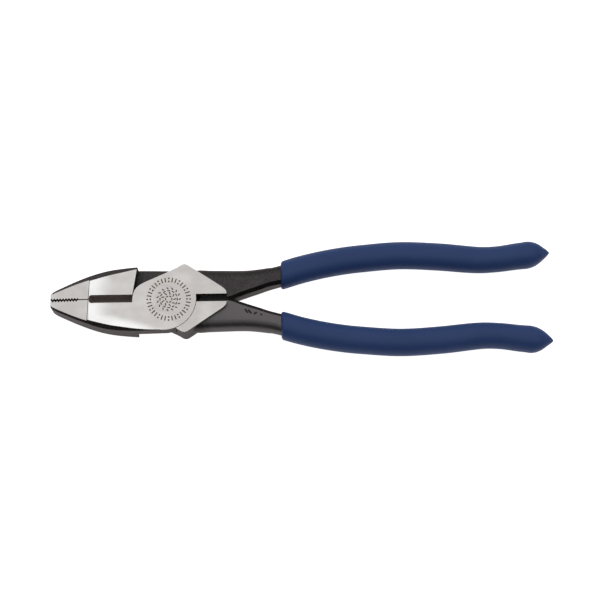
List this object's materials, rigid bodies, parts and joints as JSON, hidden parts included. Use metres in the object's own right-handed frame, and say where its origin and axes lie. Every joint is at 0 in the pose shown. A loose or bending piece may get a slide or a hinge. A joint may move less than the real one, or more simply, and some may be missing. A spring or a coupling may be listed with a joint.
{
  "type": "lineman pliers",
  "caption": "Side-cutting lineman pliers: forged halves on a flush rivet, toothed nose, cutter knives behind it, plastic-dipped curved handles.",
  "frame": {"origin": "rivet axis where it meets the back face of the head, which is the face the tool lies on", "axes": "+X from the pivot towards the handles (the nose points to -X), +Z along the rivet from the back face to the front face, +Y towards the handle of the half that has the lower jaw"},
  "size_m": [0.2378, 0.0554, 0.0159],
  "materials": {
    "forged_steel": "ground bright faces on a black oxide forging",
    "rivet_steel": "ground flush with the head",
    "grip_vinyl": "semi-gloss navy dip"
  },
  "bodies": {
    "lower_jaw_body": {"lower_jaw_half": "forged_steel", "pivot_rivet": "rivet_steel", "upper_grip": "grip_vinyl"},
    "upper_jaw_body": {"upper_jaw_half": "forged_steel", "lower_grip": "grip_vinyl"}
  },
  "joints": [
    {"name": "pivot_hinge", "type": "hinge", "parent": "lower_jaw_body", "child": "upper_jaw_body", "pos_m": [0, 0, 0], "axis": [0, 0, -1], "range_deg": [0, 28]}
  ]
}
